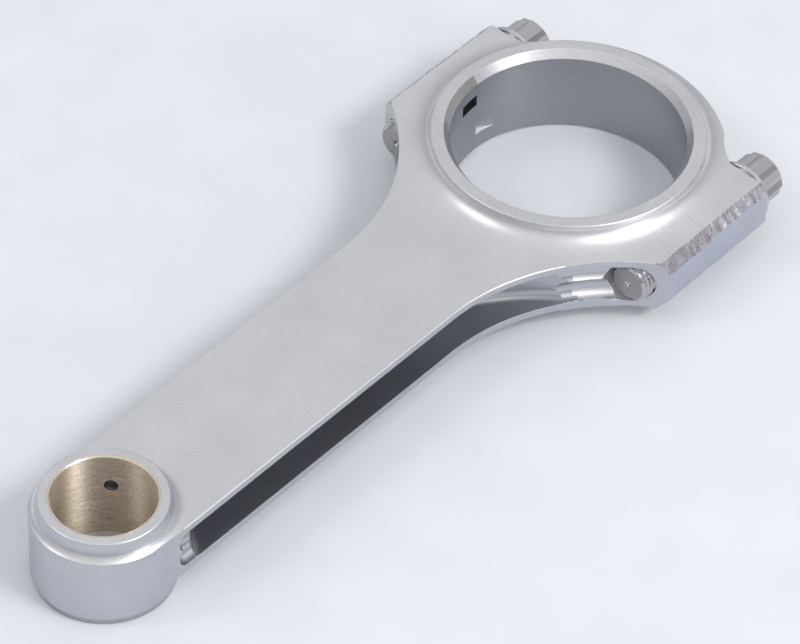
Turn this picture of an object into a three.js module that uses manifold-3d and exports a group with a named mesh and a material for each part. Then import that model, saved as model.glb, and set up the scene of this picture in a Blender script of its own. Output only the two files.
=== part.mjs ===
// Forged H-beam connecting rod with a bolted cap, lying flat.
// Millimetres, +Z up. X runs along the rod, from the wrist pin to the crankpin.
// The shapes are drawn with the wrist pin's axis at x = 0, and the group is moved
// at the end so that the origin is under the middle of the whole rod.

import * as THREE from 'three';
import { mergeVertices } from 'three/addons/utils/BufferGeometryUtils.js';
import Module from 'manifold-3d';

const wasm = await Module();
wasm.setup();

// ---------------------------------------------------------------- driving dimensions

const CENTRES = 168.53; // wrist pin axis to crankpin axis
const WIDTH = 25.2; // both ends, along the pins
const MID = WIDTH / 2;
const FLAT_THICKNESS = 15; // over the flat faces of the beam and the shoulders
const FLAT_LOW = MID - FLAT_THICKNESS / 2;
const FLAT_HIGH = MID + FLAT_THICKNESS / 2;

const CRANK_BORE_R = 29.53;
const CRANK_CHAMFER_R = 31.1;
const CRANK_CHAMFER_DEPTH = 2.2;
const CRANK_CHAMFER_LOW = 1;
const RING_R = 34.45; // raised thrust face of the big end
const RING_COVE_R = 43; // where its cove meets the flat

const PIN_BORE_R = 12.57; // inside the bush
const BUSH_R = 13.15;
const BUSH_CHAMFER = 0.3;
const PRESS_GAP = 0.02;
const PIN_FACE_R = 15.56; // raised thrust face of the small end
const PIN_END_R = 17.65;
const PIN_COVE_R = 19.4;
const PIN_FOOT_R = 17.05; // small chamfer under the small end
const PIN_FOOT_HEIGHT = 2.1;

const BEAM_HALF = 17.7;
const FLARE_START = 104; // where the beam starts to widen
const FLARE_R = 55.7;
const SIDE_HALF = 45.9; // machined side faces of the big end
const SIDE_FLAT_HALF = 4.6; // half height of those faces
const SIDE_TOP_HALF = 43.6; // half width at the flats, inside the as-forged strips

const PLATE = 2.3; // thickness of the beam's two flanges
const WEB_HALF = 2; // half thickness of the web
const CHANNEL_PIN_R = 19.8; // round start of each channel, about the wrist pin
const CHANNEL_CURVE_START = 91; // where each channel's wall leaves the web
const CHANNEL_CURVE_R = 56;
const CHANNEL_END = 138.7;

const BOLT_Y = 37.5;
const BOLT_R = 5.5;
const TAPPED_R = 5.62;
const TAPPED_END = CENTRES - 27;
const CAP_HOLE_R = 5.65;
const TIP_CHAMFER = 0.9;
const BOLT_TIP = CENTRES - 21.8;
const SEAT_X = CENTRES + 22.45;
const SPOT_FACE_R = 8.7;
const WASHER_R = 7.2;
const WASHER_THICKNESS = 0.45;
const FLANGE_R = 8.15;
const FLANGE_THICKNESS = 2;
const FLANGE_CONE = 0.9; // height of the coned rim on the flange
const HEAD_TIP_R = 6.4; // over the twelve points
const HEAD_ROOT_R = 5.75;
const HEAD_END = SEAT_X + 10;
const HEAD_POINTS = 12;

const SLEEVE_R = 6.45;
const SLEEVE_BORE_R = 5.62;
const SLEEVE_HALF_LENGTH = 4;
const SLEEVE_POCKET_R = 6.5;
const SLEEVE_POCKET_DEPTH = 4.1;

const STRAP_R = 39.6; // outside of the cap
const STRAP_BLEND_ANGLE = 0.72; // radians from +X, where the strap turns towards the seats
const SEAT_INNER_Y = 34;
const SEAT_PULL = [2.5, 3]; // how far the curve between strap and seat is drawn outwards

const TANG_WIDTH = 3.4;
const TANG_LENGTH = 6.3;
const TANG_DEPTH = 1.6;
const TANG_OFFSET = 5.2; // tang slots lie this far above and below the middle
const TANG_INNER_Y = CRANK_BORE_R - 4;

const OIL_HOLE_R = 1.7;
const OIL_HOLE_ANGLE = 0.63;
const OIL_HOLE_Z = 15.6;
const OIL_HOLE_SIDES = 20;
const OIL_HOLE_START = 10.5; // distances from the wrist pin's axis
const OIL_HOLE_END = 22.5;

const ROUND = 96; // sides of the large round shapes
const PIN_ROUND = 72;
const SMALL_ROUND = 48;
const COVE_STEPS = 7;
const PAST = 2; // how far a cutter runs past a face
const SPOT_FACE_LENGTH = 20;
const STRIP_HALF_LENGTH = 30;

// ---------------------------------------------------------------- solids

function solid(geometry) {
  geometry.deleteAttribute('normal');
  geometry.deleteAttribute('uv');
  const merged = mergeVertices(geometry, 1e-4);
  return new wasm.Manifold(new wasm.Mesh({
    numProp: 3,
    vertProperties: new Float32Array(merged.attributes.position.array),
    triVerts: new Uint32Array(merged.index.array),
  }));
}

function shapeOf(points) {
  return new THREE.Shape(points.map(([x, y]) => new THREE.Vector2(x, y)));
}

// A plan shape in X and Y, from z = low to z = high.
function upright(shape, low, high, curveSegments = 24) {
  const geometry = new THREE.ExtrudeGeometry(shape, {
    depth: high - low,
    bevelEnabled: false,
    curveSegments,
  });
  geometry.translate(0, 0, low);
  return solid(geometry);
}

// A section in Y and Z, from x = start to x = end.
function lengthwise(shape, start, end) {
  const geometry = new THREE.ExtrudeGeometry(shape, { depth: end - start, bevelEnabled: false });
  const toX = new THREE.Matrix4().makeBasis(
    new THREE.Vector3(0, 1, 0),
    new THREE.Vector3(0, 0, 1),
    new THREE.Vector3(1, 0, 0),
  );
  geometry.applyMatrix4(toX);
  geometry.translate(start, 0, 0);
  return solid(geometry);
}

// A profile of [radius, height] pairs turned about the upright axis through x.
function turned(profile, x, segments = ROUND) {
  const points = profile.map(([radius, height]) => new THREE.Vector2(radius, height));
  const geometry = new THREE.LatheGeometry(points, segments);
  geometry.rotateX(Math.PI / 2);
  geometry.translate(x, 0, 0);
  return solid(geometry);
}

// A profile of [radius, x] pairs turned about a lengthwise axis at (y, MID).
function turnedAlongX(profile, y, segments = SMALL_ROUND) {
  const points = profile.map(([radius, x]) => new THREE.Vector2(radius, x));
  const geometry = new THREE.LatheGeometry(points, segments);
  geometry.rotateZ(-Math.PI / 2);
  geometry.translate(0, y, MID);
  return solid(geometry);
}

function roundBar(radius, start, end, y, segments = SMALL_ROUND) {
  return turnedAlongX([[0, start], [radius, start], [radius, end], [0, end]], y, segments);
}

// Concave quarter between a raised face and the flat around it.
function cove(faceR, footR, faceZ, flatZ, steps) {
  const profile = [];
  for (let i = 0; i <= steps; i += 1) {
    const angle = (i / steps) * Math.PI / 2;
    profile.push([
      footR - (footR - faceR) * Math.cos(angle),
      flatZ + (faceZ - flatZ) * (1 - Math.sin(angle)),
    ]);
  }
  return profile;
}

// ---------------------------------------------------------------- plan outlines

const flareEnd = Math.asin((BEAM_HALF + FLARE_R - SIDE_HALF) / FLARE_R);

function rodPlan() {
  const plan = new THREE.Shape();
  const flareCentreY = BEAM_HALF + FLARE_R;
  plan.moveTo(FLARE_START, -BEAM_HALF);
  plan.absarc(FLARE_START, -flareCentreY, FLARE_R, Math.PI / 2, flareEnd, true);
  plan.lineTo(CENTRES, -SIDE_HALF);
  plan.lineTo(CENTRES, SIDE_HALF);
  plan.absarc(FLARE_START, flareCentreY, FLARE_R, -flareEnd, -Math.PI / 2, true);
  plan.lineTo(PIN_END_R / 2, BEAM_HALF);
  plan.absarc(0, 0, PIN_END_R, Math.PI / 2, Math.PI * 1.5, false);
  plan.lineTo(PIN_END_R / 2, -BEAM_HALF);
  return plan;
}

function capPlan() {
  const plan = new THREE.Shape();
  const blendX = CENTRES + STRAP_R * Math.cos(STRAP_BLEND_ANGLE);
  const blendY = STRAP_R * Math.sin(STRAP_BLEND_ANGLE);
  const pullX = SEAT_X + SEAT_PULL[0];
  const pullY = blendY + SEAT_PULL[1];
  plan.moveTo(CENTRES, -SIDE_HALF);
  plan.lineTo(SEAT_X, -SIDE_HALF);
  plan.lineTo(SEAT_X, -SEAT_INNER_Y);
  plan.quadraticCurveTo(pullX, -pullY, blendX, -blendY);
  plan.absarc(CENTRES, 0, STRAP_R, -STRAP_BLEND_ANGLE, STRAP_BLEND_ANGLE, false);
  plan.quadraticCurveTo(pullX, pullY, SEAT_X, SEAT_INNER_Y);
  plan.lineTo(SEAT_X, SIDE_HALF);
  plan.lineTo(CENTRES, SIDE_HALF);
  return plan;
}

// One side channel, drawn on the -Y side.
function channelPlan() {
  const plan = new THREE.Shape();
  const startAngle = Math.asin(BEAM_HALF / CHANNEL_PIN_R);
  const webAngle = Math.asin(WEB_HALF / CHANNEL_PIN_R);
  const endAngle = Math.acos((CHANNEL_END - CHANNEL_CURVE_START) / CHANNEL_CURVE_R);
  const startX = CHANNEL_PIN_R * Math.cos(startAngle);
  plan.moveTo(startX, -BEAM_HALF - PAST);
  plan.lineTo(CHANNEL_END, -SIDE_HALF);
  plan.absarc(
    CHANNEL_CURVE_START, -WEB_HALF - CHANNEL_CURVE_R, CHANNEL_CURVE_R,
    endAngle, Math.PI / 2, false,
  );
  plan.absarc(0, 0, CHANNEL_PIN_R, -webAngle, -startAngle, true);
  return plan;
}

// ---------------------------------------------------------------- parts

// The raised ring of the big end, with a cove down to the flats above and below.
function bigEndRing() {
  const lower = cove(RING_R, RING_COVE_R, 0, FLAT_LOW, COVE_STEPS);
  const upper = cove(RING_R, RING_COVE_R, WIDTH, FLAT_HIGH, COVE_STEPS);
  return turned([[0, 0], ...lower, ...upper.reverse(), [0, WIDTH]], CENTRES);
}

function crankBore() {
  const slope = (CRANK_CHAMFER_R - CRANK_BORE_R) / CRANK_CHAMFER_DEPTH;
  return turned([
    [0, -PAST],
    [CRANK_BORE_R + CRANK_CHAMFER_LOW + PAST, -PAST],
    [CRANK_BORE_R, CRANK_CHAMFER_LOW],
    [CRANK_BORE_R, WIDTH - CRANK_CHAMFER_DEPTH],
    [CRANK_CHAMFER_R + slope * PAST, WIDTH + PAST],
    [0, WIDTH + PAST],
  ], CENTRES);
}

// The wedges that the as-forged strips take off the four long edges of the big end.
function sideStrips() {
  const wedges = [];
  for (const side of [-1, 1]) {
    for (const up of [-1, 1]) {
      const corner = [
        [side * SIDE_HALF, MID + up * SIDE_FLAT_HALF],
        [side * SIDE_TOP_HALF, MID + up * FLAT_THICKNESS / 2],
        [side * (SIDE_HALF + PAST), MID + up * (FLAT_THICKNESS / 2)],
      ];
      const [start, end] = [CENTRES - STRIP_HALF_LENGTH, CENTRES + STRIP_HALF_LENGTH];
      wedges.push(lengthwise(shapeOf(corner), start, end));
    }
  }
  return wedges;
}

function rodBody() {
  const smallEnd = turned([
    [0, 0],
    [PIN_FOOT_R, 0],
    [PIN_END_R, PIN_FOOT_HEIGHT],
    [PIN_END_R, FLAT_LOW],
    [PIN_COVE_R, FLAT_LOW],
    ...cove(PIN_FACE_R, PIN_COVE_R, WIDTH, FLAT_HIGH, COVE_STEPS).reverse(),
    [0, WIDTH],
  ], 0, PIN_ROUND);
  let body = upright(rodPlan(), FLAT_LOW, FLAT_HIGH);
  body = body.add(smallEnd).add(bigEndRing());
  body = body.intersect(upright(rodPlan(), -PAST, WIDTH + PAST));
  body = body.subtract(crankBore());
  body = body.subtract(turned([
    [0, -PAST],
    [BUSH_R + PRESS_GAP, -PAST],
    [BUSH_R + PRESS_GAP, WIDTH + PAST],
    [0, WIDTH + PAST],
  ], 0, PIN_ROUND));
  for (const wedge of sideStrips()) {
    body = body.subtract(wedge);
  }
  const channel = upright(channelPlan(), FLAT_LOW + PLATE, FLAT_HIGH - PLATE);
  body = body.subtract(channel).subtract(channel.mirror([0, 1, 0]));
  for (const side of [-1, 1]) {
    const y = side * BOLT_Y;
    body = body.subtract(roundBar(TAPPED_R, TAPPED_END, CENTRES + PAST, y));
    body = body.subtract(
      roundBar(SLEEVE_POCKET_R, CENTRES - SLEEVE_POCKET_DEPTH, CENTRES + PAST, y),
    );
  }
  body = body.subtract(tangSlot(-1, MID + TANG_OFFSET));
  return body.subtract(oilHole());
}

// A slot for a bearing shell's tang in the crank bore's wall, on the +Y side.
// It is full depth in the rod (way = -1) and runs out to nothing in the cap (way = 1).
function tangSlot(way, z) {
  const end = CENTRES + way * TANG_LENGTH;
  const floorY = CRANK_BORE_R + TANG_DEPTH;
  const runOutY = Math.sqrt(CRANK_BORE_R ** 2 - TANG_LENGTH ** 2);
  const plan = shapeOf([
    [CENTRES - way * PAST, TANG_INNER_Y],
    [end, TANG_INNER_Y],
    [end, way < 0 ? floorY : runOutY],
    [CENTRES, floorY],
    [CENTRES - way * PAST, floorY],
  ]);
  return upright(plan, z - TANG_WIDTH / 2, z + TANG_WIDTH / 2);
}

function oilHole() {
  const length = OIL_HOLE_END - OIL_HOLE_START;
  const geometry = new THREE.CylinderGeometry(OIL_HOLE_R, OIL_HOLE_R, length, OIL_HOLE_SIDES);
  geometry.rotateZ(-Math.PI / 2);
  geometry.translate((OIL_HOLE_START + OIL_HOLE_END) / 2, 0, 0);
  geometry.rotateZ(OIL_HOLE_ANGLE);
  geometry.translate(0, 0, OIL_HOLE_Z);
  return solid(geometry);
}

function rodCap() {
  let cap = upright(capPlan(), FLAT_LOW, FLAT_HIGH);
  cap = cap.add(bigEndRing());
  cap = cap.intersect(upright(capPlan(), -PAST, WIDTH + PAST));
  cap = cap.subtract(crankBore());
  for (const wedge of sideStrips()) {
    cap = cap.subtract(wedge);
  }
  for (const side of [-1, 1]) {
    const y = side * BOLT_Y;
    cap = cap.subtract(roundBar(CAP_HOLE_R, CENTRES - PAST, SEAT_X + PAST, y));
    cap = cap.subtract(roundBar(SPOT_FACE_R, SEAT_X, SEAT_X + SPOT_FACE_LENGTH, y));
    cap = cap.subtract(
      roundBar(SLEEVE_POCKET_R, CENTRES - PAST, CENTRES + SLEEVE_POCKET_DEPTH, y),
    );
  }
  return cap.subtract(tangSlot(1, MID - TANG_OFFSET));
}

function bush() {
  const tube = turned([
    [PIN_BORE_R, BUSH_CHAMFER],
    [PIN_BORE_R + BUSH_CHAMFER, 0],
    [BUSH_R, 0],
    [BUSH_R, WIDTH],
    [PIN_BORE_R + BUSH_CHAMFER, WIDTH],
    [PIN_BORE_R, WIDTH - BUSH_CHAMFER],
    [PIN_BORE_R, BUSH_CHAMFER],
  ], 0, PIN_ROUND);
  return tube.subtract(oilHole());
}

function sleeve(side) {
  const start = CENTRES - SLEEVE_HALF_LENGTH;
  const end = CENTRES + SLEEVE_HALF_LENGTH;
  return turnedAlongX([
    [SLEEVE_BORE_R, start],
    [SLEEVE_R, start],
    [SLEEVE_R, end],
    [SLEEVE_BORE_R, end],
    [SLEEVE_BORE_R, start],
  ], side * BOLT_Y);
}

// Section of the head: a star of tips with a root between each two.
function twelvePoint() {
  const points = [];
  for (let i = 0; i < HEAD_POINTS * 2; i += 1) {
    const radius = i % 2 === 0 ? HEAD_TIP_R : HEAD_ROOT_R;
    const angle = (i / HEAD_POINTS) * Math.PI;
    points.push([radius * Math.cos(angle), radius * Math.sin(angle)]);
  }
  return shapeOf(points);
}

function bolt(side) {
  const underFlange = SEAT_X + WASHER_THICKNESS;
  const flangeTop = underFlange + FLANGE_THICKNESS;
  const turnedPart = turnedAlongX([
    [0, BOLT_TIP],
    [BOLT_R - TIP_CHAMFER, BOLT_TIP],
    [BOLT_R, BOLT_TIP + TIP_CHAMFER],
    [BOLT_R, SEAT_X],
    [WASHER_R, SEAT_X],
    [WASHER_R, underFlange],
    [FLANGE_R, underFlange],
    [FLANGE_R, flangeTop - FLANGE_CONE],
    [HEAD_TIP_R, flangeTop],
    [0, flangeTop],
  ], side * BOLT_Y);
  const head = lengthwise(twelvePoint(), underFlange, HEAD_END);
  return turnedPart.add(head.translate([0, side * BOLT_Y, MID]));
}

// ---------------------------------------------------------------- scene graph

const LENGTH = PIN_END_R + CENTRES + STRAP_R;
const PIN_X = PIN_END_R - LENGTH / 2;

const forgedSteel = new THREE.MeshStandardMaterial({ color: 0xb9babd, roughness: 0.42, metalness: 1 });
const bronze = new THREE.MeshStandardMaterial({ color: 0xb89468, roughness: 0.35, metalness: 1 });
const boltSteel = new THREE.MeshStandardMaterial({ color: 0x6c6864, roughness: 0.4, metalness: 1 });
const sleeveSteel = new THREE.MeshStandardMaterial({ color: 0x9a9c9e, roughness: 0.35, metalness: 1 });

function part(name, body, material) {
  const { vertProperties, triVerts } = body.getMesh();
  const geometry = new THREE.BufferGeometry();
  geometry.setAttribute('position', new THREE.BufferAttribute(vertProperties, 3));
  geometry.setIndex(new THREE.BufferAttribute(triVerts, 1));
  geometry.computeVertexNormals();
  const mesh = new THREE.Mesh(geometry, material);
  mesh.name = name;
  return mesh;
}

const connectingRod = new THREE.Group();
connectingRod.position.x = PIN_X;
connectingRod.add(
  part('rod_body', rodBody(), forgedSteel),
  part('rod_cap', rodCap(), forgedSteel),
  part('small_end_bush', bush(), bronze),
);
for (const [name, side] of [['left', 1], ['right', -1]]) {
  connectingRod.add(
    part(`locating_sleeve_${name}`, sleeve(side), sleeveSteel),
    part(`cap_bolt_${name}`, bolt(side), boltSteel),
  );
}

export default connectingRod;
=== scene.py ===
"""A forged H-beam connecting rod with a bolted cap, lying on a pale floor.

Shapes are drawn in millimetres with the wrist pin's axis at x = 0, and settle() moves each
finished piece into the frame, in metres.
"""

import math

import bmesh
import bpy
from mathutils import Matrix, Quaternion, Vector, noise


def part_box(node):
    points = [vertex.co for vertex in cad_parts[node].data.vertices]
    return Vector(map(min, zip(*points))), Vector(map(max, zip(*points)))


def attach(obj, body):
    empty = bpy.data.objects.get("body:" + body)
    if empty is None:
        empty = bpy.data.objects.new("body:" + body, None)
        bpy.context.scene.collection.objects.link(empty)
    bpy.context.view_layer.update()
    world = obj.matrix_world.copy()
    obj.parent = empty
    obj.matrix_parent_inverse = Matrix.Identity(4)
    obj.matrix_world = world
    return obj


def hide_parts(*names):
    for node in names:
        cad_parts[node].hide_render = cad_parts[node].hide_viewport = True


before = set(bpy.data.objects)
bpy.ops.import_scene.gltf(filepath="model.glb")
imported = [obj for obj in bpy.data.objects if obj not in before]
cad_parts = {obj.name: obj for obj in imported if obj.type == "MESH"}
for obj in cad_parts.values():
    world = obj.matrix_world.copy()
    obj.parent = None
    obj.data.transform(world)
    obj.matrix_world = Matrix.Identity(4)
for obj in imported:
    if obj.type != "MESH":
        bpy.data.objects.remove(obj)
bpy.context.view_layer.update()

MM = 0.001

# ---------------------------------------------------------------- sizes from the frame


def box_mm(node):
    """A node's lowest and highest corners in millimetres, with the wrist pin's axis at x = 0."""
    low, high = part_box(node)
    shift = Vector((PIN_X, 0, 0))
    return (low - shift) / MM, (high - shift) / MM


bush_low, bush_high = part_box("small_end_bush")
PIN_X = (bush_low.x + bush_high.x) / 2
BUSH_R = (bush_high.y - bush_low.y) / 2 / MM

rod_low, rod_high = box_mm("rod_body")
cap_low, cap_high = box_mm("rod_cap")
bolt_low, bolt_high = box_mm("cap_bolt_left")
sleeve_low, sleeve_high = box_mm("locating_sleeve_left")

CENTRES = cap_low.x  # the parting plane runs through the crankpin's axis
WIDTH = rod_high.z
MID = WIDTH / 2
SIDE_HALF = rod_high.y
PIN_END_R = -rod_low.x
STRAP_R = cap_high.x - CENTRES
BOLT_Y = (bolt_low.y + bolt_high.y) / 2
BOLT_TIP = bolt_low.x
HEAD_END = bolt_high.x
FLANGE_R = (bolt_high.y - bolt_low.y) / 2
SLEEVE_R = (sleeve_high.y - sleeve_low.y) / 2

# ---------------------------------------------------------------- the rest of the sizes

FLAT_THICKNESS = 15
FLAT_LOW = MID - FLAT_THICKNESS / 2
FLAT_HIGH = MID + FLAT_THICKNESS / 2
EDGE = 0.4  # rounding of the long outer edges

CRANK_BORE_R = 29.53
CRANK_CHAMFER_R = 31.1
CRANK_CHAMFER_DEPTH = 2.2
CRANK_CHAMFER_LOW = 1
RING_R = 34.45
RING_COVE_R = 43

PIN_BORE_R = 12.57
BUSH_CHAMFER = 0.3
PIN_FACE_R = 15.56
PIN_COVE_R = 19.4
PIN_FOOT_R = 17.05
PIN_FOOT_HEIGHT = 2.1

BEAM_HALF = 17.7
FLARE_START = 104
FLARE_R = 55.7
FLARE_CENTRE_Y = BEAM_HALF + FLARE_R
FLARE_END = math.asin((FLARE_CENTRE_Y - SIDE_HALF) / FLARE_R)
SIDE_FLAT_HALF = 4.6
SIDE_TOP_HALF = 43.6
STRIP_HALF_LENGTH = 26
STRIP_ROWS = 9
STRIP_GRID = 0.34  # distance along X between the points that shape a strip
STRIP_DEPTH = 6  # thickness of the cutters
STRIP_STEP = 0.5  # the upper -Y strip is wider on the rod and narrower on the cap by this much
STRIP_JAG = 0.35  # how far a strip's edge on the side face wanders
STRIP_JAG_SCALE = 0.5
STRIP_BUMP = 0.1
STRIP_BUMP_SCALE = 1.1
STRIP_WAVE = 0.14
STRIP_WAVE_SCALE = 0.28

PLATE = 2.3
WEB_HALF = 2
CHANNEL_PIN_R = 19.8
CHANNEL_CURVE_START = 91
CHANNEL_CURVE_R = 56
CHANNEL_END = 138.7
CHANNEL_MOUTH = 6  # how far the channel cutter runs past the side
CHANNEL_FILLET = 2.4
LOBE_R = 2.9  # the round-nosed cuts at both ends of each channel
LOBE_OFFSET = 2.4  # each lies this far above or below their common middle
LOBE_RISE = 0.3  # and that middle is this far above the rod's
LOBE_START = 9.6
LOBE_END_ANGLE = 0.72  # where they stop on the flare's circle
LOBE_ROUND = 40

SEAT_X = CENTRES + 22.45
SEAT_INNER_Y = 34
SPOT_FACE_R = 8.7
SPOT_FACE_LENGTH = 20
STRAP_BLEND_ANGLE = 0.72
STRAP_PULL = Vector((2.5, 3))

BOLT_R = 5.5
TAPPED_R = 5.62
TAPPED_END = CENTRES - 27
CAP_HOLE_R = 5.65
SLEEVE_BORE_R = 5.62
POCKET_R = 6.5
POCKET_DEPTH = 4.1

TANG_WIDTH = 3.4
TANG_LENGTH = 6.3
TANG_DEPTH = 1.6
TANG_OFFSET = 5.2
TANG_INNER_Y = CRANK_BORE_R - 4
TANG_RUN_OUT_Y = math.sqrt(CRANK_BORE_R ** 2 - TANG_LENGTH ** 2)

OIL_HOLE_R = 1.7
OIL_HOLE_ANGLE = 0.63
OIL_HOLE_Z = 15.6
OIL_HOLE_START = 10.5  # from the wrist pin's axis
OIL_HOLE_LENGTH = 12
OIL_HOLE_ROUND = 48

THREAD_PITCH = 1.27
THREAD_DEPTH = 0.75
THREAD_LENGTH = 26
THREAD_CREST = 0.12  # share of the half pitch that is flat at the crest
THREAD_FLANK = 0.7
TIP_CHAMFER = 1.1
TIP_FLAT_R = 4.3
DIMPLE_R = 0.85  # the centre mark in the tip
DIMPLE_POINT_R = 0.05
DIMPLE_DEPTH = 0.9
SWELL = 0.1  # the shank thickens by this much under the head
SWELL_LENGTH = 0.8
WASHER_R = 7.2
WASHER_THICKNESS = 0.45
FLANGE_THICKNESS = 2
FLANGE_EDGE = 0.3
FLANGE_EDGE_RISE = 0.25
FLANGE_SLOPE = 0.8  # height of the sloping top of the flange
HEAD_TIP_R = 6.4
HEAD_POINTS = 12
HEAD_OVERLAP = 0.3  # how far the head runs down into the flange
HEAD_CHAMFER = 1.1
HEAD_CHAMFER_LENGTH = 0.9
HEAD_CONE_START = 1.5  # below the end of the head
DISH_R = 4.2  # hollow in the end of the head
DISH_SLOPE = 0.5
DISH_DEPTH = 0.7

ROUND = 256
SMALL_ROUND = 96
PAST = 2  # how far a cutter runs past a face
OVERLAP = 4  # how far a blank runs past the parting plane before it is cut there
FAR = 60  # reach of the cutting blocks, beyond every side of the forgings
AXIS = 0.01  # radius that stands for a point on the axis
DRILL_AXIS = 0.001  # the same, in the cutters for drilled holes

UPRIGHT = Matrix.Identity(4)
ALONG_X = Matrix(((0, 0, 1, 0), (1, 0, 0, 0), (0, 1, 0, 0), (0, 0, 0, 1)))

# ---------------------------------------------------------------- camera, floor and light

CAMERA_FROM_PIN = Vector((-0.59902, -0.5799, 0.90165))
LOOK = Vector((0.5505, 0.4533, -0.7010))
ROLL = math.radians(2)
LENS = 235.5
SENSOR = 36


def make_camera():
    camera = bpy.data.objects.new("camera", bpy.data.cameras.new("camera"))
    bpy.context.scene.collection.objects.link(camera)
    camera.location = CAMERA_FROM_PIN + Vector((PIN_X, 0, 0))
    turn = LOOK.to_track_quat("-Z", "Y") @ Quaternion((0, 0, 1), ROLL)
    camera.rotation_euler = turn.to_euler()
    camera.data.sensor_width = SENSOR
    camera.data.lens = LENS
    camera.data.clip_start = 0.05
    camera.data.clip_end = 20
    bpy.context.scene.camera = camera


def area_light(name, place, size, power):
    """A round soft light that points at the floor under the middle of the part."""
    light = bpy.data.lights.new(name, "AREA")
    light.shape = "DISK"
    light.size = size
    light.energy = power
    lamp = bpy.data.objects.new(name, light)
    bpy.context.scene.collection.objects.link(lamp)
    lamp.location = place
    lamp.rotation_euler = (-Vector(place)).to_track_quat("-Z", "Y").to_euler()


def make_sky():
    """Even studio light, darker towards the horizon."""
    world = bpy.data.worlds.new("studio")
    bpy.context.scene.world = world
    world.use_nodes = True
    nodes = world.node_tree.nodes
    links = world.node_tree.links
    place = nodes.new("ShaderNodeTexCoord")
    split = nodes.new("ShaderNodeSeparateXYZ")
    ramp = nodes.new("ShaderNodeValToRGB")
    ramp.color_ramp.elements[0].position = 0.0
    ramp.color_ramp.elements[0].color = (0.52, 0.53, 0.56, 1)
    ramp.color_ramp.elements[1].position = 0.65
    ramp.color_ramp.elements[1].color = (1.22, 1.23, 1.27, 1)
    links.new(place.outputs["Generated"], split.inputs[0])
    links.new(split.outputs["Z"], ramp.inputs["Fac"])
    links.new(ramp.outputs["Color"], nodes["Background"].inputs["Color"])
    nodes["Background"].inputs["Strength"].default_value = 0.62


def make_lights():
    area_light("key", (0.08, -1.05, 1.2), 0.5, 7)
    area_light("low", (0.1, -1.5, 0.45), 0.4, 2)
    area_light("right", (0.4, -1.0, 1.2), 0.4, 2.5)
    area_light("left", (-0.8, 0.66, 1.2), 0.4, 2)


def make_floor():
    size = 6
    corners = [(-size, -size, 0), (size, -size, 0), (size, size, 0), (-size, size, 0)]
    mesh = bpy.data.meshes.new("floor")
    mesh.from_pydata(corners, [], [(0, 1, 2, 3)])
    floor = bpy.data.objects.new("floor", mesh)
    bpy.context.scene.collection.objects.link(floor)
    mesh.materials.append(paper())


# ---------------------------------------------------------------- outlines


def spread(start, end, steps):
    return [start + (end - start) * i / steps for i in range(steps + 1)]


def arc(centre, radius, start, end, steps):
    """Points round a circle from one angle to another."""
    cx, cy = centre
    return [
        Vector((cx + radius * math.cos(a), cy + radius * math.sin(a)))
        for a in spread(start, end, steps)
    ]


def curve(start, pull, end, steps):
    """Points on a quadratic curve."""
    points = []
    for t in spread(0, 1, steps):
        points.append(start * (1 - t) ** 2 + pull * 2 * t * (1 - t) + end * t * t)
    return points


def mirrored(points):
    """The same points on the other side of the rod's middle line, in reverse order."""
    return [Vector((p.x, -p.y)) for p in reversed(points)]


def rod_plan(end):
    """Outline of the beam and the rod's half of the big end, anticlockwise from above."""
    half = [Vector((PIN_END_R / 2, -BEAM_HALF))]
    half += arc((FLARE_START, -FLARE_CENTRE_Y), FLARE_R, math.pi / 2, FLARE_END, 64)
    half.append(Vector((end, -SIDE_HALF)))
    round_end = arc((0, 0), PIN_END_R, math.pi / 2, math.pi * 1.5, 96)
    return half + mirrored(half) + round_end


def cap_plan(start):
    """Outline of the cap: seats for the bolt heads and the round strap between them."""
    blend = Vector((math.cos(STRAP_BLEND_ANGLE), math.sin(STRAP_BLEND_ANGLE))) * STRAP_R
    blend.x += CENTRES
    pull = Vector((SEAT_X, blend.y)) + STRAP_PULL
    upper = curve(blend, pull, Vector((SEAT_X, SEAT_INNER_Y)), 16)
    upper += [Vector((SEAT_X, SIDE_HALF)), Vector((start, SIDE_HALF))]
    strap = arc((CENTRES, 0), STRAP_R, -STRAP_BLEND_ANGLE, STRAP_BLEND_ANGLE, 64)
    return mirrored(upper) + strap[1:-1] + upper


def channel_plan():
    """One side channel, on the -Y side, anticlockwise from above."""
    start_angle = math.asin(BEAM_HALF / CHANNEL_PIN_R)
    web_angle = math.asin(WEB_HALF / CHANNEL_PIN_R)
    end_angle = math.acos((CHANNEL_END - CHANNEL_CURVE_START) / CHANNEL_CURVE_R)
    start_x = CHANNEL_PIN_R * math.cos(start_angle)
    curve_centre = (CHANNEL_CURVE_START, -WEB_HALF - CHANNEL_CURVE_R)
    points = [Vector((start_x, -BEAM_HALF - CHANNEL_MOUTH))]
    points.append(Vector((CHANNEL_END, -SIDE_HALF - CHANNEL_MOUTH)))
    points += arc(curve_centre, CHANNEL_CURVE_R, end_angle, math.pi / 2, 64)
    points += arc((0, 0), CHANNEL_PIN_R, -web_angle, -start_angle, 32)
    return points


def inset(outline, amount):
    """An anticlockwise outline moved inwards."""
    moved = []
    for i, here in enumerate(outline):
        ahead = (outline[(i + 1) % len(outline)] - here).normalized()
        behind = (here - outline[i - 1]).normalized()
        first = Vector((-behind.y, behind.x))
        second = Vector((-ahead.y, ahead.x))
        moved.append(here + (first + second) * amount / (1 + first.dot(second)))
    return moved


def flare_y(x):
    """Half width of the beam and its flare at a place along the rod."""
    beyond = min(max(x - FLARE_START, 0), FLARE_R)
    return FLARE_CENTRE_Y - math.sqrt(FLARE_R ** 2 - beyond ** 2)


# ---------------------------------------------------------------- solids


def new_object(name, vertices, faces):
    mesh = bpy.data.meshes.new(name)
    mesh.from_pydata([tuple(v) for v in vertices], [], faces)
    made = bpy.data.objects.new(name, mesh)
    bpy.context.scene.collection.objects.link(made)
    return made


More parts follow.
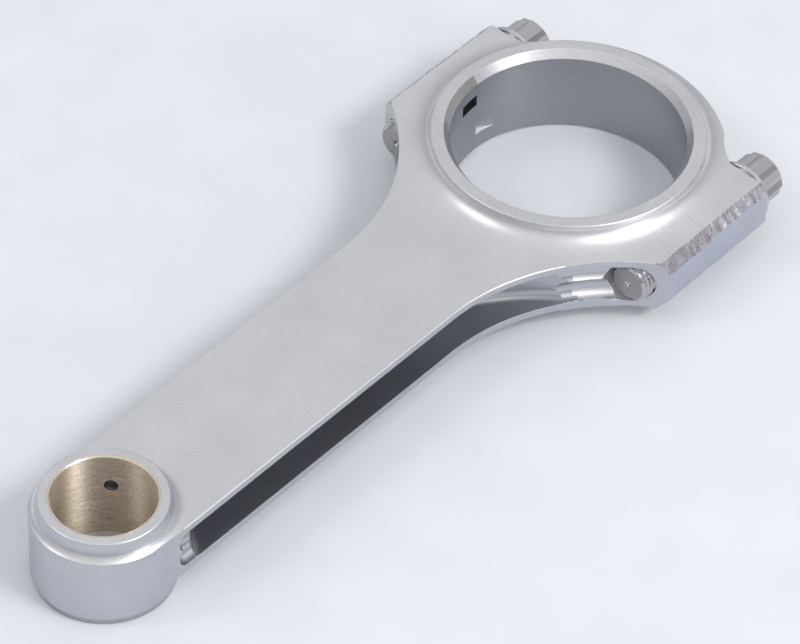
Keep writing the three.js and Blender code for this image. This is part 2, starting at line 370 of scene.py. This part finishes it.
def skin(name, rings, closed_loop=False):
    """A solid through rings of points, capped at both ends or joined into a loop."""
    count = len(rings[0])
    vertices = [v for ring in rings for v in ring]
    faces = []
    rows = len(rings) if closed_loop else len(rings) - 1
    for row in range(rows):
        near = row * count
        far = (row + 1) % len(rings) * count
        for i in range(count):
            j = (i + 1) % count
            faces.append((near + i, near + j, far + j, far + i))
    if not closed_loop:
        faces.append(tuple(reversed(range(count))))
        faces.append(tuple(range((len(rings) - 1) * count, len(rings) * count)))
    made = new_object(name, vertices, faces)
    repair(made)
    return made


def repair(made):
    """Joins doubled points and turns every face outwards."""
    mesh = bmesh.new()
    mesh.from_mesh(made.data)
    bmesh.ops.remove_doubles(mesh, verts=mesh.verts, dist=1e-5)
    bmesh.ops.dissolve_degenerate(mesh, dist=1e-6, edges=mesh.edges)
    bmesh.ops.recalc_face_normals(mesh, faces=mesh.faces)
    bmesh.ops.triangulate(mesh, faces=[f for f in mesh.faces if len(f.verts) > 4])
    mesh.to_mesh(made.data)
    mesh.free()


def slab(name, outline, low, high, edge=0.0, steps=8):
    """A plan outline made solid, with its upper and lower edges rounded."""
    heights = [(0.0, low), (0.0, high)]
    if edge:
        heights = []
        for a in spread(0, math.pi / 2, steps):
            heights.append((edge * (1 - math.sin(a)), low + edge * (1 - math.cos(a))))
        heights += [(drawn, low + high - z) for drawn, z in reversed(heights)]
    rings = []
    for drawn, z in heights:
        rings.append([Vector((p.x, p.y, z)) for p in inset(outline, drawn)])
    return skin(name, rings)


def turned(name, profile, centre=(0, 0, 0), way=UPRIGHT, segments=ROUND, closed=False):
    """A profile of (radius, distance along the axis) turned about an axis."""
    move = Matrix.Translation(centre) @ way
    rings = []
    for radius, along in profile:
        ring = []
        for i in range(segments):
            angle = math.tau * i / segments
            ring.append(move @ Vector((radius * math.cos(angle), radius * math.sin(angle), along)))
        rings.append(ring)
    return skin(name, rings, closed)


def bar(name, radius, start, end, y):
    """A round bar along X through the middle height."""
    profile = [(DRILL_AXIS, start), (radius, start), (radius, end), (DRILL_AXIS, end)]
    return turned(name, profile, (0, y, MID), ALONG_X, SMALL_ROUND)


def block(name, low, high):
    (x0, y0, z0), (x1, y1, z1) = low, high
    outline = [Vector((x0, y0)), Vector((x1, y0)), Vector((x1, y1)), Vector((x0, y1))]
    return slab(name, outline, z0, z1)


def settle_modifiers(made):
    shown = made.evaluated_get(bpy.context.evaluated_depsgraph_get())
    mesh = bpy.data.meshes.new_from_object(shown)
    made.modifiers.clear()
    made.data = mesh


def combine(made, tool, operation):
    modifier = made.modifiers.new("combine", "BOOLEAN")
    modifier.solver = "MANIFOLD"
    modifier.operation = operation
    modifier.object = tool
    settle_modifiers(made)
    bpy.data.objects.remove(tool)
    return made


def join(made, tool):
    return combine(made, tool, "UNION")


def cut(made, tool):
    return combine(made, tool, "DIFFERENCE")


def keep(made, tool):
    return combine(made, tool, "INTERSECT")


# ---------------------------------------------------------------- shared features


def cove(face_r, foot_r, face_z, flat_z, steps=20):
    """Concave quarter from a raised face down to the flat, from the face outwards."""
    profile = []
    for a in spread(0, math.pi / 2, steps):
        radius = foot_r - (foot_r - face_r) * math.cos(a)
        profile.append((radius, flat_z + (face_z - flat_z) * (1 - math.sin(a))))
    return profile


def rounded_face(face_r, face_z, up):
    """The rounded rim of a raised face, ending where its cove starts."""
    rim = []
    for a in spread(0, math.pi / 2, 8):
        rim.append((face_r - EDGE + EDGE * math.sin(a), face_z - up * EDGE * (1 - math.cos(a))))
    return rim


def big_end_ring():
    lower = rounded_face(RING_R, 0, -1) + cove(RING_R, RING_COVE_R, EDGE, FLAT_LOW)[1:]
    upper = rounded_face(RING_R, WIDTH, 1) + cove(RING_R, RING_COVE_R, WIDTH - EDGE, FLAT_HIGH)[1:]
    profile = [(AXIS, 0)] + lower + upper[::-1] + [(AXIS, WIDTH)]
    return turned("ring", profile, (CENTRES, 0, 0))


def crank_bore():
    slope = (CRANK_CHAMFER_R - CRANK_BORE_R) / CRANK_CHAMFER_DEPTH
    profile = [
        (AXIS, -PAST),
        (CRANK_BORE_R + CRANK_CHAMFER_LOW + PAST, -PAST),
        (CRANK_BORE_R, CRANK_CHAMFER_LOW),
        (CRANK_BORE_R, WIDTH - CRANK_CHAMFER_DEPTH),
        (CRANK_CHAMFER_R + slope * PAST, WIDTH + PAST),
        (AXIS, WIDTH + PAST),
    ]
    return turned("bore", profile, (CENTRES, 0, 0))


def rough_wedge(side, up):
    """Cutter for one as-forged strip: a bumpy slope from the side face to the flat."""
    start, end = CENTRES - STRIP_HALF_LENGTH, CENTRES + STRIP_HALF_LENGTH
    columns = int((end - start) / STRIP_GRID)
    side_edge = Vector((0, side * SIDE_HALF, MID + up * SIDE_FLAT_HALF))
    flat_edge = Vector((0, side * SIDE_TOP_HALF, MID + up * FLAT_THICKNESS / 2))
    out = Vector((0, side, up)).normalized()
    grid = []
    for x in spread(start, end, columns):
        ragged = STRIP_JAG * noise.noise(Vector((x * STRIP_JAG_SCALE, side, up)))
        stepped = STRIP_STEP * math.copysign(1, x - CENTRES) if side < 0 < up else 0
        jagged_edge = side_edge + Vector((0, 0, up * (ragged + stepped)))
        column = []
        for j in range(-1, STRIP_ROWS + 2):
            place = jagged_edge.lerp(flat_edge, j / STRIP_ROWS)
            place.x = x
            bump = noise.fractal(place * STRIP_BUMP_SCALE, 1.0, 2.0, 4) * STRIP_BUMP
            wave = noise.noise(place * STRIP_WAVE_SCALE) * STRIP_WAVE
            column.append(place + out * (bump + wave))
        column.append(column[-1] + out * STRIP_DEPTH)
        column.append(column[0] + out * STRIP_DEPTH)
        grid.append(column)
    return skin("strip", grid)


def tang_slot(way, z):
    """Slot for a bearing shell's tang in the +Y wall of the bore.

    It is full depth in the rod (way = -1) and runs out to nothing in the cap (way = 1).
    """
    floor_y = CRANK_BORE_R + TANG_DEPTH
    end = CENTRES + way * TANG_LENGTH
    inside = CENTRES - way * PAST
    end_y = floor_y if way < 0 else TANG_RUN_OUT_Y
    outline = [Vector((inside, TANG_INNER_Y)), Vector((end, TANG_INNER_Y)), Vector((end, end_y))]
    outline += [Vector((CENTRES, floor_y)), Vector((inside, floor_y))]
    if way < 0:
        outline.reverse()
    return slab("tang", outline, z - TANG_WIDTH / 2, z + TANG_WIDTH / 2)


def oil_hole():
    """The oil hole, drilled from the bush's bore outwards."""
    start = Matrix.Translation((OIL_HOLE_START, 0, OIL_HOLE_Z))
    way = Matrix.Rotation(OIL_HOLE_ANGLE, 4, "Z") @ start @ ALONG_X
    end = OIL_HOLE_LENGTH
    profile = [(DRILL_AXIS, 0), (OIL_HOLE_R, 0), (OIL_HOLE_R, end), (DRILL_AXIS, end)]
    return turned("oil_hole", profile, (0, 0, 0), way, OIL_HOLE_ROUND)


def lobe_path():
    """Places, directions and radii along a lobe cut: a round nose, the beam's side, the flare."""
    path = [Vector((x, -BEAM_HALF)) for x in spread(LOBE_START, FLARE_START, 8)]
    flare_centre = (FLARE_START, -FLARE_CENTRE_Y)
    path += arc(flare_centre, FLARE_R, math.pi / 2, LOBE_END_ANGLE, 40)[1:]
    stations = []
    for angle in spread(-math.pi / 2, 0, 8)[1:]:
        nose = Vector((LOBE_START + LOBE_R * math.sin(angle), -BEAM_HALF))
        stations.append((nose, Vector((1, 0)), LOBE_R * math.cos(angle)))
    for i, place in enumerate(path[1:], 1):
        ahead = path[min(i + 1, len(path) - 1)] - path[i - 1]
        stations.append((place, ahead.normalized(), LOBE_R))
    return stations


def lobe_cut(side, up):
    """Round-nosed cut that runs along the side face, seen at both ends of the channel."""
    z = MID + LOBE_RISE + up * LOBE_OFFSET
    tube = []
    for place, ahead, radius in lobe_path():
        across = Vector((ahead.y, -ahead.x))
        ring = []
        for i in range(LOBE_ROUND):
            angle = math.tau * i / LOBE_ROUND
            spot = place + across * radius * math.cos(angle)
            ring.append(Vector((spot.x, -side * spot.y, z + radius * math.sin(angle))))
        tube.append(ring)
    return skin("lobe", tube)


# ---------------------------------------------------------------- pieces


def small_end():
    """The small end: a chamfered foot, a straight wall and a raised face with a cove round it."""
    inside = FLAT_LOW + 1
    top = rounded_face(PIN_FACE_R, WIDTH, 1)
    top += cove(PIN_FACE_R, PIN_COVE_R, WIDTH - EDGE, FLAT_HIGH)[1:]
    profile = [(AXIS, 0), (PIN_FOOT_R, 0), (PIN_END_R, PIN_FOOT_HEIGHT)]
    profile += [(PIN_END_R, inside), (PIN_COVE_R, inside)]
    profile += top[::-1] + [(AXIS, WIDTH)]
    return turned("small_end", profile)


def pin_bore():
    low, high = -PAST, WIDTH + PAST
    return turned("pin_bore", [(AXIS, low), (BUSH_R, low), (BUSH_R, high), (AXIS, high)])


def cut_side(body, side):
    """The strips, the channel with its lobes, and the bolt hole on one side of the rod."""
    y = side * BOLT_Y
    for up in (-1, 1):
        cut(body, rough_wedge(side, up))
    outline = channel_plan() if side < 0 else mirrored(channel_plan())
    cut(body, slab("channel", outline, FLAT_LOW + PLATE, FLAT_HIGH - PLATE, CHANNEL_FILLET))
    for up in (-1, 1):
        cut(body, lobe_cut(side, up))
    cut(body, bar("tapped", TAPPED_R, TAPPED_END, CENTRES + PAST, y))
    cut(body, bar("pocket", POCKET_R, CENTRES - POCKET_DEPTH, CENTRES + PAST, y))


def make_rod_body():
    beyond = CENTRES + OVERLAP
    body = slab("rod_body_forging", rod_plan(beyond), FLAT_LOW, FLAT_HIGH, EDGE)
    join(body, small_end())
    join(body, big_end_ring())
    keep(body, slab("plan", rod_plan(beyond), -PAST, WIDTH + PAST))
    keep(body, block("parting", (-FAR, -FAR, -PAST), (CENTRES, FAR, WIDTH + PAST)))
    cut(body, crank_bore())
    cut(body, pin_bore())
    for side in (-1, 1):
        cut_side(body, side)
    cut(body, tang_slot(-1, MID + TANG_OFFSET))
    cut(body, oil_hole())
    return body


def make_rod_cap():
    beyond = CENTRES - OVERLAP
    cap = slab("rod_cap_forging", cap_plan(beyond), FLAT_LOW, FLAT_HIGH, EDGE)
    join(cap, big_end_ring())
    keep(cap, slab("plan", cap_plan(beyond), -PAST, WIDTH + PAST))
    keep(cap, block("parting", (CENTRES, -FAR, -PAST), (CENTRES + FAR, FAR, WIDTH + PAST)))
    cut(cap, crank_bore())
    for side in (-1, 1):
        y = side * BOLT_Y
        for up in (-1, 1):
            cut(cap, rough_wedge(side, up))
        cut(cap, bar("hole", CAP_HOLE_R, CENTRES - PAST, SEAT_X + PAST, y))
        cut(cap, bar("spot_face", SPOT_FACE_R, SEAT_X, SEAT_X + SPOT_FACE_LENGTH, y))
        cut(cap, bar("pocket", POCKET_R, CENTRES - PAST, CENTRES + POCKET_DEPTH, y))
    cut(cap, tang_slot(1, MID - TANG_OFFSET))
    return cap


def make_bush():
    gap = 0.02
    profile = [
        (PIN_BORE_R, BUSH_CHAMFER),
        (PIN_BORE_R + BUSH_CHAMFER, 0),
        (BUSH_R - gap, 0),
        (BUSH_R - gap, WIDTH),
        (PIN_BORE_R + BUSH_CHAMFER, WIDTH),
        (PIN_BORE_R, WIDTH - BUSH_CHAMFER),
    ]
    tube = turned("bronze_bush", profile, closed=True)
    return cut(tube, oil_hole())


def make_sleeve(side):
    chamfer = 0.4
    start, end = sleeve_low.x, sleeve_high.x
    profile = [
        (SLEEVE_BORE_R, start + chamfer / 2),
        (SLEEVE_BORE_R + chamfer / 2, start),
        (SLEEVE_R - chamfer, start),
        (SLEEVE_R, start + chamfer),
        (SLEEVE_R, end - chamfer),
        (SLEEVE_R - chamfer, end),
        (SLEEVE_BORE_R + chamfer / 2, end),
        (SLEEVE_BORE_R, end - chamfer / 2),
    ]
    return turned("sleeve", profile, (0, side * BOLT_Y, MID), ALONG_X, SMALL_ROUND, closed=True)


def thread_radius(x, angle):
    """Radius of the thread, with flat crests and roots."""
    phase = (x / THREAD_PITCH - angle / math.tau) % 1
    from_crest = abs(phase - 0.5) * 2
    depth = min(1, max(0, (from_crest - THREAD_CREST) / THREAD_FLANK))
    return BOLT_R - THREAD_DEPTH * depth


def bolt_shank():
    """Rings of points along the thread, from the tip to where it fades into the plain shank."""
    fade_start = THREAD_LENGTH - THREAD_PITCH
    step = THREAD_PITCH / 10
    rings = []
    for i in range(int(THREAD_LENGTH / step) + 1):
        along = i * step
        x = BOLT_TIP + along
        limit = BOLT_R - max(0, TIP_CHAMFER - along)
        fade = max(0, (along - fade_start) / THREAD_PITCH)
        ring = []
        for k in range(SMALL_ROUND):
            angle = math.tau * k / SMALL_ROUND
            radius = min(thread_radius(x, angle), limit)
            radius += (BOLT_R - radius) * fade
            ring.append(Vector((x, radius * math.cos(angle), radius * math.sin(angle))))
        rings.append(ring)
    return rings


def round_ring(x, radius):
    ring = []
    for k in range(SMALL_ROUND):
        angle = math.tau * k / SMALL_ROUND
        ring.append(Vector((x, radius * math.cos(angle), radius * math.sin(angle))))
    return ring


def make_bolt(side):
    under = SEAT_X + WASHER_THICKNESS
    top = under + FLANGE_THICKNESS
    slope = top - FLANGE_SLOPE
    dimple = [
        (BOLT_TIP + DIMPLE_DEPTH, DIMPLE_POINT_R), (BOLT_TIP, DIMPLE_R), (BOLT_TIP, TIP_FLAT_R),
    ]
    collar = [
        (SEAT_X - SWELL_LENGTH, BOLT_R), (SEAT_X, BOLT_R + SWELL),
        (SEAT_X, WASHER_R), (under, WASHER_R),
        (under, FLANGE_R - FLANGE_EDGE), (under + FLANGE_EDGE_RISE, FLANGE_R),
        (slope - FLANGE_EDGE_RISE, FLANGE_R), (slope, FLANGE_R - FLANGE_EDGE),
        (top, HEAD_TIP_R), (top, AXIS),
    ]
    rings = [round_ring(x, radius) for x, radius in dimple]
    rings += bolt_shank()
    rings += [round_ring(x, radius) for x, radius in collar]
    shank = skin("bolt", rings)
    join(shank, bolt_head(top - HEAD_OVERLAP))
    for vertex in shank.data.vertices:
        vertex.co.y += side * BOLT_Y
        vertex.co.z += MID
    return shank


def bolt_head(start):
    """Twelve-point head: a double hexagon with a coned rim and a dished end."""
    root = HEAD_TIP_R * math.cos(math.pi / 6) / math.cos(math.pi / HEAD_POINTS)
    star = []
    for i in range(HEAD_POINTS * 2):
        radius = HEAD_TIP_R if i % 2 == 0 else root
        angle = math.pi * i / HEAD_POINTS
        star.append(Vector((radius * math.cos(angle), radius * math.sin(angle))))
    rings = [[Vector((x, p.x, p.y)) for p in star] for x in (start, HEAD_END)]
    head = skin("head", rings)
    wide = HEAD_TIP_R + 1
    cone = [(AXIS, start - 1), (wide, start - 1), (wide, HEAD_END - HEAD_CONE_START)]
    cone += [(HEAD_TIP_R + 0.1, HEAD_END - HEAD_CHAMFER_LENGTH), (HEAD_TIP_R - HEAD_CHAMFER, HEAD_END)]
    cone += [(DISH_R, HEAD_END), (DISH_R - DISH_SLOPE, HEAD_END - DISH_SLOPE)]
    cone.append((AXIS, HEAD_END - DISH_DEPTH))
    return keep(head, turned("cone", cone, (0, 0, 0), ALONG_X, SMALL_ROUND))


# ---------------------------------------------------------------- materials


GRAIN = 2400  # peening marks about 0.4 mm apart
BROAD = 55
FINE_RELIEF = 0.00003  # metres
SCALE_RELIEF = 0.0001
MARK_SPREAD = 0.013  # metres of pattern for one radian round an axis
MARK_SCALE = (170, 2400, 1)  # long round the axis and close together along it


class Recipe:
    """One procedural material, with short ways to add and link its nodes."""

    def __init__(self, name):
        self.material = bpy.data.materials.new(name)
        self.material.use_nodes = True
        self.nodes = self.material.node_tree.nodes
        self.shader = self.nodes["Principled BSDF"]
        self.place = self.node("ShaderNodeTexCoord").outputs["Object"]

    def node(self, kind, **inputs):
        """Adds a node. Each input is a constant or another node's output."""
        made = self.nodes.new(kind)
        for name, value in inputs.items():
            self.feed(made.inputs[name.replace("_", " ")], value)
        return made

    def feed(self, socket, value):
        if isinstance(value, bpy.types.NodeSocket):
            self.material.node_tree.links.new(value, socket)
        else:
            socket.default_value = value

    def math(self, operation, first, second=0.0):
        made = self.nodes.new("ShaderNodeMath")
        made.operation = operation
        self.feed(made.inputs[0], first)
        self.feed(made.inputs[1], second)
        return made.outputs[0]

    def blend(self, first, second, share):
        """A share of the second value and the rest of the first."""
        rest = self.math("MULTIPLY", first, 1 - share)
        return self.math("ADD", rest, self.math("MULTIPLY", second, share))

    def noise(self, scale, detail=3.0, vector=None):
        made = self.node("ShaderNodeTexNoise", Scale=scale, Detail=detail, Vector=vector or self.place)
        return made.outputs["Fac"]

    def lines_round(self, centre_x, angle):
        """Fine tool marks that run round an upright axis, tilted a little."""
        centred = self.node("ShaderNodeMapping", Vector=self.place, Location=(-centre_x, 0, 0))
        parts = self.node("ShaderNodeSeparateXYZ", Vector=centred.outputs[0])
        x, y, z = parts.outputs
        around = self.math("ARCTAN2", y, x)
        along = self.math("MULTIPLY", around, MARK_SPREAD)
        flat = self.node("ShaderNodeCombineXYZ", X=along, Y=z)
        turned_way = self.node("ShaderNodeMapping", Vector=flat.outputs[0], Rotation=(0, 0, angle))
        drawn = self.node("ShaderNodeMapping", Vector=turned_way.outputs[0], Scale=MARK_SCALE)
        return self.noise(1.0, 4.0, drawn.outputs[0])

    def colour(self, value, dark, light, low=0.35, high=0.65):
        ramp = self.nodes.new("ShaderNodeValToRGB")
        ramp.color_ramp.elements[0].position = low
        ramp.color_ramp.elements[0].color = (*dark, 1)
        ramp.color_ramp.elements[1].position = high
        ramp.color_ramp.elements[1].color = (*light, 1)
        self.feed(ramp.inputs["Fac"], value)
        self.feed(self.shader.inputs["Base Color"], ramp.outputs["Color"])

    def gloss(self, value, low, high):
        spread_out = self.node("ShaderNodeMapRange", Value=value, To_Min=low, To_Max=high)
        self.feed(self.shader.inputs["Roughness"], spread_out.outputs[0])

    def spread_light(self, amount):
        """Marks that run round an upright bore draw its highlights out up and down the wall."""
        up = self.node("ShaderNodeCombineXYZ", Z=1.0)
        self.feed(self.shader.inputs["Tangent"], up.outputs[0])
        self.shader.inputs["Anisotropic"].default_value = amount

    def relief(self, height, strength, depth, edge=0.0):
        """Surface relief, over sharp edges that catch light as if they were broken."""
        bump = self.node("ShaderNodeBump", Height=height, Strength=strength, Distance=depth)
        if edge:
            broken = self.node("ShaderNodeBevel", Radius=edge)
            broken.samples = 4
            self.feed(bump.inputs["Normal"], broken.outputs[0])
        self.feed(self.shader.inputs["Normal"], bump.outputs[0])


def peened(name, dark, light, roughness, strength=0.35, edge=0.00025):
    recipe = Recipe(name)
    recipe.shader.inputs["Metallic"].default_value = 1
    fine = recipe.noise(GRAIN)
    broad = recipe.noise(BROAD, 4.0)
    recipe.colour(recipe.blend(broad, fine, 0.55), dark, light)
    recipe.gloss(fine, roughness - 0.06, roughness + 0.06)
    recipe.relief(fine, strength, FINE_RELIEF, edge)
    return recipe.material


def turned_metal(name, dark, light, roughness, centre_x, strength, drawn_out, tilt=0.0):
    """Bored or honed metal, with marks round its axis in two crossing directions."""
    recipe = Recipe(name)
    recipe.shader.inputs["Metallic"].default_value = 1
    marks = recipe.blend(recipe.lines_round(centre_x, tilt), recipe.lines_round(centre_x, -tilt), 0.5)
    fine = recipe.noise(GRAIN)
    recipe.colour(recipe.blend(marks, fine, 0.4), dark, light)
    recipe.gloss(marks, roughness - 0.08, roughness + 0.08)
    recipe.spread_light(drawn_out)
    recipe.relief(marks, strength, FINE_RELIEF, edge=0.00015)
    return recipe.material


def forged_skin():
    recipe = Recipe("forged_skin")
    recipe.shader.inputs["Metallic"].default_value = 1
    scale = recipe.noise(2600, 5.0)
    patches = recipe.noise(320, 4.0)
    mixed = recipe.blend(scale, patches, 0.35)
    recipe.colour(mixed, (0.27, 0.26, 0.29), (0.54, 0.53, 0.57), 0.36, 0.64)
    recipe.gloss(scale, 0.42, 0.6)
    recipe.relief(mixed, 0.5, SCALE_RELIEF)
    return recipe.material


def paper():
    recipe = Recipe("pale_floor")
    recipe.shader.inputs["Roughness"].default_value = 0.9
    recipe.shader.inputs["Specular IOR Level"].default_value = 0.2
    recipe.colour(recipe.noise(40, 4.0), (0.765, 0.785, 0.82), (0.795, 0.815, 0.85))
    return recipe.material


# ---------------------------------------------------------------- finishing

SHARP_ANGLE = 14  # degrees: edges at least this sharp stay crisp
CLOSE = 0.05  # a spot this near a surface counts as on it
NEAR = 0.1
STEEP = 0.2  # the normal of an upright wall points up or down less than this
LEVEL = 0.9  # and that of a level face more than this


def paint(made, materials, choose):
    """Gives each face the material that choose names from its middle and its normal."""
    made.data.materials.clear()
    for material in materials.values():
        made.data.materials.append(material)
    names = list(materials)
    for face in made.data.polygons:
        face.material_index = names.index(choose(face.center, face.normal))


def settle(made, body, node):
    """Shades a finished piece, moves it into the frame in metres, hides the CAD part it stands in for
    and hangs it on its body.
    """
    made.data.transform(Matrix.Translation((PIN_X, 0, 0)) @ Matrix.Scale(MM, 4))
    made.data.shade_smooth()
    made.data.set_sharp_from_angle(angle=math.radians(SHARP_ANGLE))
    weighted = made.modifiers.new("normals", "WEIGHTED_NORMAL")
    weighted.keep_sharp = True
    settle_modifiers(made)
    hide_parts(node)
    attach(made, body)


def bore_zone(place, normal):
    """Which material a spot in or beside the crank bore gets, or None away from it: the bore's finish
    darkened as painted shade, painted shade in the tang slot, painted shade and a painted highlight on
    the chamfer.
    """
    from_crank = math.hypot(place.x - CENTRES, place.y)
    on_rod = place.x < CENTRES
    if abs(normal.z) < STEEP and abs(from_crank - CRANK_BORE_R) < NEAR:
        return "bore"
    in_tang = CRANK_BORE_R + NEAR < from_crank < CRANK_BORE_R + TANG_DEPTH + 2
    in_tang = in_tang and abs(place.x - CENTRES) < TANG_LENGTH + NEAR
    # The rod's tang slot gets near-black painted shade; the cap's run-out keeps the bore's material.
    if in_tang and FLAT_LOW < place.z < FLAT_HIGH:
        return "slot_painted_shade" if on_rod else "bore"
    # The chamfer's rod half gets a dark copy as painted shade and its cap half a near-white copy as a
    # painted highlight.
    if from_crank < CRANK_CHAMFER_R + CLOSE and abs(normal.z) < LEVEL:
        return "rod_chamfer_painted_shade" if on_rod else "cap_chamfer_painted_highlight"
    return None


def side_zone(place, normal):
    """Which material a spot on the big end's sides or in a channel gets, or None elsewhere; the
    channel's plates get painted shade.
    """
    if abs(normal.z) < STEEP and abs(abs(place.y) - SIDE_HALF) < CLOSE:
        return "side"
    beside_crank = abs(place.x - CENTRES) < STRIP_HALF_LENGTH
    if beside_crank and abs(place.y) > SIDE_TOP_HALF - 0.6 and STEEP < abs(normal.z) < 0.97:
        return "rough"
    between_plates = FLAT_LOW + PLATE - CLOSE < place.z < FLAT_HIGH - PLATE + CLOSE
    inside_flare = abs(place.y) < flare_y(place.x) - 0.15 and place.x < CHANNEL_END
    # The plates' inner faces in the channel get a dark copy of the steel as painted shade.
    if between_plates and inside_flare and abs(normal.z) > 0.5:
        return "channel"
    return None


def forging_zone(place, normal):
    """Which material a spot on the forging gets: its finish, or a copy darkened as painted shade or
    lightened as a painted highlight.
    """
    from_crank = math.hypot(place.x - CENTRES, place.y)
    from_pin = math.hypot(place.x, place.y)
    in_bore = bore_zone(place, normal)
    if in_bore:
        return in_bore
    if abs(place.z - MID) > MID - CLOSE and abs(normal.z) > LEVEL:
        return "face"
    on_side = side_zone(place, normal)
    if on_side:
        return on_side
    if from_pin < BUSH_R + NEAR:
        return "bore"
    # The downward-facing foot chamfer gets a darker copy of the steel as painted shade.
    if place.z < PIN_FOOT_HEIGHT and from_pin < PIN_END_R + NEAR:
        return "foot_painted_shade"
    in_ring_cove = from_crank < RING_COVE_R and abs(place.z - MID) > FLAT_THICKNESS / 2
    # Upright faces get a darker copy of the peened steel as painted shade.
    return "wall_painted_shade" if abs(normal.z) < 0.5 and not in_ring_cove else "peened"


def bolt_zone(place, normal):
    """Which finish a spot on a bolt has."""
    if place.x < BOLT_TIP + NEAR:
        return "tip"
    on_flange = SEAT_X - NEAR < place.x < SEAT_X + WASHER_THICKNESS + FLANGE_THICKNESS
    return "flange" if on_flange else "bolt"


make_camera()
make_floor()
make_sky()
make_lights()
bpy.context.scene.view_settings.view_transform = "Standard"

CRANK_X = PIN_X + CENTRES * MM
# Real finishes of the forging, and copies with painted shade or a painted highlight.
FINISHES_AND_PAINTED_LIGHT = {
    "peened": peened("peened_steel", (0.69, 0.69, 0.70), (0.80, 0.80, 0.81), 0.36, 0.22),
    # Painted shade: the same peened steel, darker, for upright faces.
    "wall_painted_shade": peened("peened_side_painted_shade", (0.50, 0.515, 0.55), (0.60, 0.615, 0.65), 0.4, 0.25),
    "face": peened("ground_face", (0.66, 0.66, 0.67), (0.79, 0.79, 0.80), 0.36, 0.15),
    # Bored finish, with its colour darkened as painted shade inside the bore.
    "bore": turned_metal(
        "bored_steel_and_painted_shade", (0.38, 0.39, 0.425), (0.44, 0.45, 0.485), 0.42, CRANK_X, 0.06, 0.75,
    ),
    # Painted shade on the rod's half of the bore chamfer and a painted highlight on the cap's half.
    "rod_chamfer_painted_shade": peened("rod_chamfer_painted_shade", (0.40, 0.39, 0.38), (0.56, 0.55, 0.54), 0.4),
    "cap_chamfer_painted_highlight": peened("cap_chamfer_painted_highlight", (0.80, 0.80, 0.81), (0.98, 0.98, 0.99), 0.3, 0.4),
    "side": peened("milled_side", (0.48, 0.50, 0.57), (0.57, 0.59, 0.66), 0.36, 0.2),
    "rough": forged_skin(),
    # Painted shade on the plates inside the channels.
    "channel": peened("channel_plate_painted_shade", (0.30, 0.31, 0.335), (0.38, 0.39, 0.42), 0.45),
    # Painted shade on the downward-facing foot chamfer.
    "foot_painted_shade": peened("foot_chamfer_painted_shade", (0.42, 0.425, 0.44), (0.48, 0.485, 0.50), 0.4),
    # Painted shade: near black in the rod's tang slot.
    "slot_painted_shade": peened("slot_floor_painted_shade", (0.05, 0.05, 0.05), (0.09, 0.09, 0.09), 0.6),
}
BRONZE = {
    "bronze": turned_metal(
        "bush_bronze", (0.50, 0.41, 0.30), (0.95, 0.86, 0.73), 0.56, PIN_X, 0.6, 0.95,
        math.radians(9),
    ),
    "rim": peened("bush_rim", (0.84, 0.70, 0.54), (0.92, 0.80, 0.64), 0.25, 0.1, 0.0001),
}
DARK = {
    "flange": peened("bolt_flange", (0.62, 0.62, 0.64), (0.70, 0.70, 0.72), 0.35, 0.12, 0.0001),
    "bolt": peened("bolt_steel", (0.46, 0.455, 0.465), (0.56, 0.555, 0.565), 0.2, 0.1, 0.0001),
    "tip": peened("bolt_tip", (0.36, 0.355, 0.36), (0.42, 0.415, 0.42), 0.4, 0.1, 0.0001),
}
GROUND = {"sleeve": peened("sleeve_steel", (0.5, 0.5, 0.51), (0.6, 0.6, 0.61), 0.3, 0.1, 0.0001)}

rod_body = make_rod_body()
paint(rod_body, FINISHES_AND_PAINTED_LIGHT, forging_zone)
settle(rod_body, "rod", "rod_body")

rod_cap = make_rod_cap()
paint(rod_cap, FINISHES_AND_PAINTED_LIGHT, forging_zone)
settle(rod_cap, "cap", "rod_cap")

bush = make_bush()
paint(bush, BRONZE, lambda place, normal: "rim" if abs(normal.z) > 0.3 else "bronze")
settle(bush, "rod", "small_end_bush")

for side_name, side_sign in (("left", 1), ("right", -1)):
    sleeve = make_sleeve(side_sign)
    sleeve.name = f"sleeve_{side_name}"
    paint(sleeve, GROUND, lambda place, normal: "sleeve")
    settle(sleeve, "rod", f"locating_sleeve_{side_name}")
    bolt = make_bolt(side_sign)
    bolt.name = f"bolt_{side_name}"
    paint(bolt, DARK, bolt_zone)
    settle(bolt, f"bolt_{side_name}", f"cap_bolt_{side_name}")
